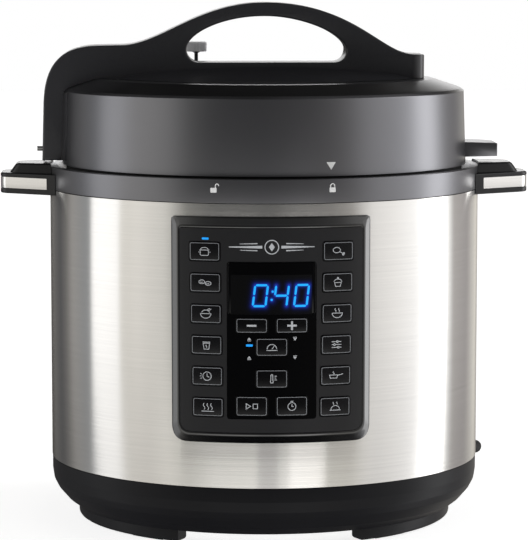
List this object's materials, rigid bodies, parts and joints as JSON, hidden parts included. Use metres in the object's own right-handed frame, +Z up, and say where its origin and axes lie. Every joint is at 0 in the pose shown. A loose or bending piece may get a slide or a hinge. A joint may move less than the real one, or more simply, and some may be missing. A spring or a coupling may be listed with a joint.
{
  "type": "electric pressure cooker",
  "caption": "Round electric pressure cooker with a brushed steel body, raised key panel, bayonet lid with an arched one-piece handle, side handles and a rear mains cord.",
  "frame": {"origin": "bottom centre of the cooker's box (without the cord), on the surface it stands on; the round body's own axis is 11.3 mm towards the front from it", "axes": "+Z up, -Y towards the control panel (front), +X to the right seen from the front"},
  "size_m": [0.354, 0.3814, 0.3454],
  "materials": {
    "base_plastic": "fine textured charcoal moulding",
    "shell_steel": "horizontally brushed, satin",
    "grey_satin": "satin dark grey paint",
    "handle_plastic": "matt charcoal moulding",
    "gloss_black": "gloss black",
    "key_plastic": "semi-gloss black keys with pale printed outlines",
    "display_lens": "smoked clear lens",
    "cup_plastic": "smoky translucent moulding",
    "inner_steel": "pressed stainless",
    "small_steel": "bright steel",
    "pot_coating": "speckled non-stick coating on aluminium",
    "aluminium": "cast and machined",
    "valve_metal": "turned, ridged",
    "rubber": "matt",
    "cord_rubber": "satin black cable jacket",
    "silicone": "translucent white",
    "circuit_board": "green board with components"
  },
  "bodies": {
    "base": {"base_housing": "base_plastic", "bottom_plate": "aluminium", "bottom_screw_1": "small_steel", "bottom_screw_2": "small_steel", "bottom_screw_3": "small_steel", "foot_pad_1": "rubber", "foot_pad_2": "rubber", "foot_pad_3": "rubber", "foot_pad_4": "rubber", "outer_shell": "shell_steel", "top_collar": "grey_satin", "handle_right": "handle_plastic", "handle_left": "handle_plastic", "handle_band_right": "shell_steel", "handle_band_left": "shell_steel", "pot_housing": "inner_steel", "heating_plate": "aluminium", "sensor_spring": "small_steel", "power_board": "circuit_board", "control_board": "circuit_board", "display_module": "key_plastic", "control_bezel": "gloss_black", "display_window": "display_lens", "collector_bracket": "base_plastic", "cord_strain_relief": "rubber", "mains_cord": "cord_rubber", "mains_plug": "cord_rubber"},
    "sensor": {"temperature_sensor": "aluminium"},
    "pot": {"inner_pot": "pot_coating"},
    "cup": {"condensation_cup": "cup_plastic"},
    "seal": {"sealing_ring": "silicone"},
    "lid": {"lid_cover": "grey_satin", "lid_tab": "grey_satin", "lid_plate": "inner_steel", "lid_handle": "handle_plastic", "lid_bolt": "small_steel", "arm_pin": "small_steel", "steam_nozzle": "small_steel", "valve_shield": "inner_steel"},
    "steam_valve": {"steam_valve_lever": "handle_plastic", "steam_valve_cap": "valve_metal"},
    "float": {"float_valve": "small_steel"},
    "key_left_1": {"button_left_1": "key_plastic"},
    "key_right_1": {"button_right_1": "key_plastic"},
    "key_left_2": {"button_left_2": "key_plastic"},
    "key_right_2": {"button_right_2": "key_plastic"},
    "key_left_3": {"button_left_3": "key_plastic"},
    "key_right_3": {"button_right_3": "key_plastic"},
    "key_left_4": {"button_left_4": "key_plastic"},
    "key_right_4": {"button_right_4": "key_plastic"},
    "key_left_5": {"button_left_5": "key_plastic"},
    "key_right_5": {"button_right_5": "key_plastic"},
    "key_left_6": {"button_left_6": "key_plastic"},
    "key_right_6": {"button_right_6": "key_plastic"},
    "key_minus": {"button_minus": "key_plastic"},
    "key_plus": {"button_plus": "key_plastic"},
    "key_pressure": {"button_pressure": "key_plastic"},
    "key_temperature": {"button_temperature": "key_plastic"},
    "key_start_stop": {"button_start_stop": "key_plastic"},
    "key_delay": {"button_delay": "key_plastic"}
  },
  "joints": [
    {"name": "lid_lift", "type": "slide", "parent": "base", "child": "seal", "axis": [0, 0, 1], "range_m": [0, 0.36]},
    {"name": "lid_turn", "type": "hinge", "parent": "seal", "child": "lid", "pos_m": [0, -0.0113, 0.24], "axis": [0, 0, 1], "range_deg": [-30, 0]},
    {"name": "pot_lift", "type": "slide", "parent": "base", "child": "pot", "axis": [0, 0, 1], "range_m": [0, 0.18]},
    {"name": "steam_valve_turn", "type": "hinge", "parent": "lid", "child": "steam_valve", "pos_m": [-0.045, 0.0507, 0.3], "axis": [0, 0, 1], "range_deg": [0, 45]},
    {"name": "float_rise", "type": "slide", "parent": "lid", "child": "float", "axis": [0, 0, 1], "range_m": [0, 0.005]},
    {"name": "cup_pull", "type": "slide", "parent": "base", "child": "cup", "axis": [0, 1, 0], "range_m": [0, 0.04]},
    {"name": "sensor_press", "type": "slide", "parent": "base", "child": "sensor", "axis": [0, 0, 1], "range_m": [-0.002, 0], "stiffness_N_per_m": 500, "springref_m": 0.001, "deforming": ["sensor_spring"]},
    {"name": "press_left_1", "type": "slide", "parent": "base", "child": "key_left_1", "axis": [0.284, 0.9588, 0], "range_m": [0, 0.0005], "stiffness_N_per_m": 500, "springref_m": -0.0002},
    {"name": "press_right_1", "type": "slide", "parent": "base", "child": "key_right_1", "axis": [-0.284, 0.9588, 0], "range_m": [0, 0.0005], "stiffness_N_per_m": 500, "springref_m": -0.0002},
    {"name": "press_left_2", "type": "slide", "parent": "base", "child": "key_left_2", "axis": [0.2814, 0.9596, 0], "range_m": [0, 0.0005], "stiffness_N_per_m": 500, "springref_m": -0.0002},
    {"name": "press_right_2", "type": "slide", "parent": "base", "child": "key_right_2", "axis": [-0.2814, 0.9596, 0], "range_m": [0, 0.0005], "stiffness_N_per_m": 500, "springref_m": -0.0002},
    {"name": "press_left_3", "type": "slide", "parent": "base", "child": "key_left_3", "axis": [0.2788, 0.9604, 0], "range_m": [0, 0.0005], "stiffness_N_per_m": 500, "springref_m": -0.0002},
    {"name": "press_right_3", "type": "slide", "parent": "base", "child": "key_right_3", "axis": [-0.2788, 0.9604, 0], "range_m": [0, 0.0005], "stiffness_N_per_m": 500, "springref_m": -0.0002},
    {"name": "press_left_4", "type": "slide", "parent": "base", "child": "key_left_4", "axis": [0.2762, 0.9611, 0], "range_m": [0, 0.0005], "stiffness_N_per_m": 500, "springref_m": -0.0002},
    {"name": "press_right_4", "type": "slide", "parent": "base", "child": "key_right_4", "axis": [-0.2762, 0.9611, 0], "range_m": [0, 0.0005], "stiffness_N_per_m": 500, "springref_m": -0.0002},
    {"name": "press_left_5", "type": "slide", "parent": "base", "child": "key_left_5", "axis": [0.2736, 0.9619, 0], "range_m": [0, 0.0005], "stiffness_N_per_m": 500, "springref_m": -0.0002},
    {"name": "press_right_5", "type": "slide", "parent": "base", "child": "key_right_5", "axis": [-0.2736, 0.9619, 0], "range_m": [0, 0.0005], "stiffness_N_per_m": 500, "springref_m": -0.0002},
    {"name": "press_left_6", "type": "slide", "parent": "base", "child": "key_left_6", "axis": [0.2709, 0.9626, 0], "range_m": [0, 0.0005], "stiffness_N_per_m": 500, "springref_m": -0.0002},
    {"name": "press_right_6", "type": "slide", "parent": "base", "child": "key_right_6", "axis": [-0.2709, 0.9626, 0], "range_m": [0, 0.0005], "stiffness_N_per_m": 500, "springref_m": -0.0002},
    {"name": "press_minus", "type": "slide", "parent": "base", "child": "key_minus", "axis": [0.0854, 0.9963, 0], "range_m": [0, 0.0005], "stiffness_N_per_m": 500, "springref_m": -0.0002},
    {"name": "press_plus", "type": "slide", "parent": "base", "child": "key_plus", "axis": [-0.0854, 0.9963, 0], "range_m": [0, 0.0005], "stiffness_N_per_m": 500, "springref_m": -0.0002},
    {"name": "press_pressure", "type": "slide", "parent": "base", "child": "key_pressure", "axis": [0, 1, 0], "range_m": [0, 0.0005], "stiffness_N_per_m": 500, "springref_m": -0.0002},
    {"name": "press_temperature", "type": "slide", "parent": "base", "child": "key_temperature", "axis": [0, 1, 0], "range_m": [0, 0.0005], "stiffness_N_per_m": 500, "springref_m": -0.0002},
    {"name": "press_start_stop", "type": "slide", "parent": "base", "child": "key_start_stop", "axis": [0.0854, 0.9963, 0], "range_m": [0, 0.0005], "stiffness_N_per_m": 500, "springref_m": -0.0002},
    {"name": "press_delay", "type": "slide", "parent": "base", "child": "key_delay", "axis": [-0.0854, 0.9963, 0], "range_m": [0, 0.0005], "stiffness_N_per_m": 500, "springref_m": -0.0002}
  ],
  "couplings": [
    {"joint": "pot_lift", "follows": "lid_lift", "ratio": 0.5}
  ]
}
